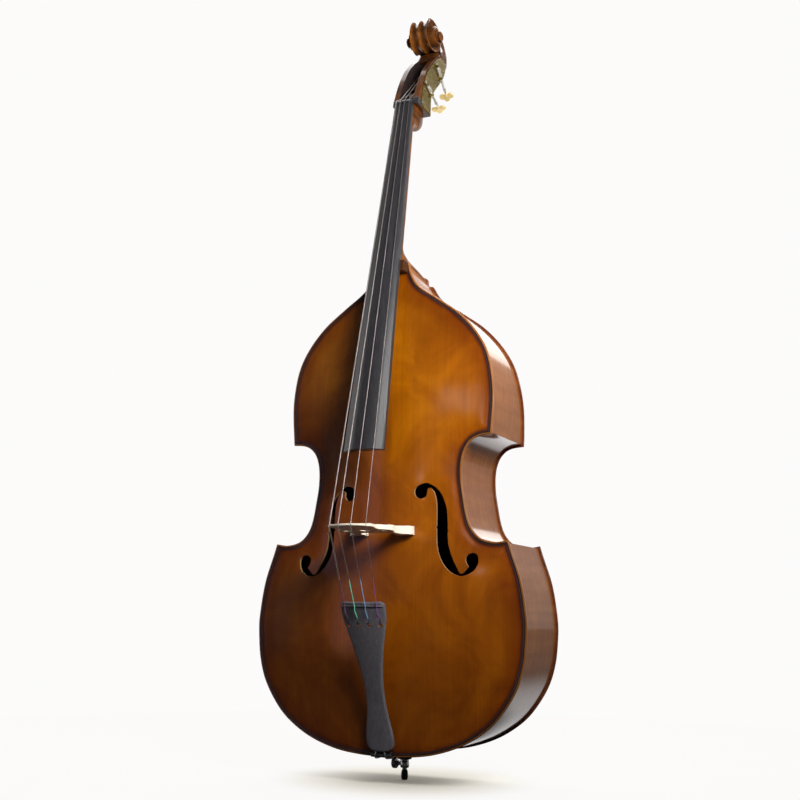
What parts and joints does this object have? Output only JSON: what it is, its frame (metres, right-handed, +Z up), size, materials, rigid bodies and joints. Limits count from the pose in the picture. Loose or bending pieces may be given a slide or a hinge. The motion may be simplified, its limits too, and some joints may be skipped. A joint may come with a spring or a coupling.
{
  "type": "double bass",
  "caption": "Upright bowed string bass: arched front with f-holes, flat back, scroll head with geared tuning machines, arched bridge, tailpiece and sliding endpin.",
  "frame": {"origin": "centre of the flat under the endpin's rubber tip, where it stands on the floor", "axes": "+Z up along the body and neck, front faces -Y, +X is the treble side"},
  "size_m": [0.657, 0.4413, 1.8691],
  "materials": {
    "spruce_front": "straight-grained spruce under glossy amber varnish, shaded darker at the edges",
    "maple_varnished": "figured maple under glossy red-brown varnish",
    "maple_dark": "maple under glossy dark red-brown varnish",
    "inner_wood": "bare spruce and willow, unvarnished",
    "ebony": "oiled ebony, satin",
    "blackened_wood": "blackened hardwood, satin",
    "rosewood": "bare dark hardwood",
    "bridge_maple": "bare pale maple, fine flecks",
    "plate_brass": "engraved brass, lacquered",
    "gear_brass": "turned brass",
    "key_gold": "polished gilt brass",
    "nickel": "polished nickel plate",
    "rod_steel": "drawn steel",
    "wire_steel": "twisted steel wire",
    "string_steel": "flat-wound steel",
    "tip_rubber": "matt black rubber"
  },
  "bodies": {
    "body_and_neck": {"back": "maple_varnished", "back_brace_lower": "inner_wood", "back_brace_middle": "inner_wood", "back_brace_upper": "inner_wood", "back_linings": "inner_wood", "bass_bar": "inner_wood", "bridge": "bridge_maple", "corner_block_lower_bass": "inner_wood", "corner_block_lower_treble": "inner_wood", "corner_block_upper_bass": "inner_wood", "corner_block_upper_treble": "inner_wood", "end_block": "inner_wood", "endpin_clamp": "nickel", "endpin_collar": "ebony", "fingerboard": "ebony", "machine_plate_bass": "plate_brass", "machine_plate_treble": "plate_brass", "neck": "maple_dark", "neck_block": "inner_wood", "nut": "ebony", "rib_centre_bass": "maple_varnished", "rib_centre_treble": "maple_varnished", "rib_lower_bass": "maple_varnished", "rib_lower_treble": "maple_varnished", "rib_upper_bass": "maple_varnished", "rib_upper_treble": "maple_varnished", "saddle": "ebony", "sound_post": "inner_wood", "string_A": "string_steel", "string_D": "string_steel", "string_E": "string_steel", "string_G": "string_steel", "table": "spruce_front", "table_linings": "inner_wood", "tail_wire": "wire_steel", "tailpiece": "blackened_wood"},
    "endpin": {"endpin_rod": "rod_steel", "endpin_tip": "tip_rubber"},
    "endpin_thumbscrew": {"endpin_screw": "nickel"},
    "tuner_E": {"worm_shaft_E": "nickel", "tuner_key_E": "key_gold"},
    "roller_E": {"string_roller_E": "rosewood", "gear_E": "gear_brass"},
    "tuner_A": {"worm_shaft_A": "nickel", "tuner_key_A": "key_gold"},
    "roller_A": {"string_roller_A": "rosewood", "gear_A": "gear_brass"},
    "tuner_D": {"worm_shaft_D": "nickel", "tuner_key_D": "key_gold"},
    "roller_D": {"string_roller_D": "rosewood", "gear_D": "gear_brass"},
    "tuner_G": {"worm_shaft_G": "nickel", "tuner_key_G": "key_gold"},
    "roller_G": {"string_roller_G": "rosewood", "gear_G": "gear_brass"}
  },
  "joints": [
    {"name": "endpin_slide", "type": "slide", "parent": "body_and_neck", "child": "endpin", "axis": [0, 0, -1], "range_m": [0, 0.3]},
    {"name": "endpin_screw_turn", "type": "hinge", "parent": "body_and_neck", "child": "endpin_thumbscrew", "pos_m": [-0.015, 0, 0.035], "axis": [1, 0, 0], "range_deg": [0, 540]},
    {"name": "tuner_turn_E", "type": "hinge", "parent": "body_and_neck", "child": "tuner_E", "pos_m": [-0.0385, 0.00341, 1.62015], "axis": [0, 0.9052, -0.4251], "continuous": true},
    {"name": "roller_turn_E", "type": "hinge", "parent": "body_and_neck", "child": "roller_E", "pos_m": [0, 0.01149, 1.63735], "axis": [-1, 0, 0], "continuous": true},
    {"name": "tuner_turn_A", "type": "hinge", "parent": "body_and_neck", "child": "tuner_A", "pos_m": [-0.0385, 0.0338, 1.6844], "axis": [0, 0.8, -0.6], "continuous": true},
    {"name": "roller_turn_A", "type": "hinge", "parent": "body_and_neck", "child": "roller_A", "pos_m": [0, 0.0452, 1.6996], "axis": [-1, 0, 0], "continuous": true},
    {"name": "tuner_turn_D", "type": "hinge", "parent": "body_and_neck", "child": "tuner_D", "pos_m": [0.0385, 0.06399, 1.72089], "axis": [0, 0.7268, -0.6868], "continuous": true},
    {"name": "roller_turn_D", "type": "hinge", "parent": "body_and_neck", "child": "roller_D", "pos_m": [0, 0.07704, 1.7347], "axis": [1, 0, 0], "continuous": true},
    {"name": "tuner_turn_G", "type": "hinge", "parent": "body_and_neck", "child": "tuner_G", "pos_m": [0.0385, 0.00702, 1.6478], "axis": [0, 0.9052, -0.4251], "continuous": true},
    {"name": "roller_turn_G", "type": "hinge", "parent": "body_and_neck", "child": "roller_G", "pos_m": [0, 0.0151, 1.665], "axis": [1, 0, 0], "continuous": true}
  ],
  "couplings": [
    {"joint": "roller_turn_E", "follows": "tuner_turn_E", "ratio": 0.035714},
    {"joint": "roller_turn_A", "follows": "tuner_turn_A", "ratio": 0.035714},
    {"joint": "roller_turn_D", "follows": "tuner_turn_D", "ratio": 0.035714},
    {"joint": "roller_turn_G", "follows": "tuner_turn_G", "ratio": 0.035714}
  ]
}
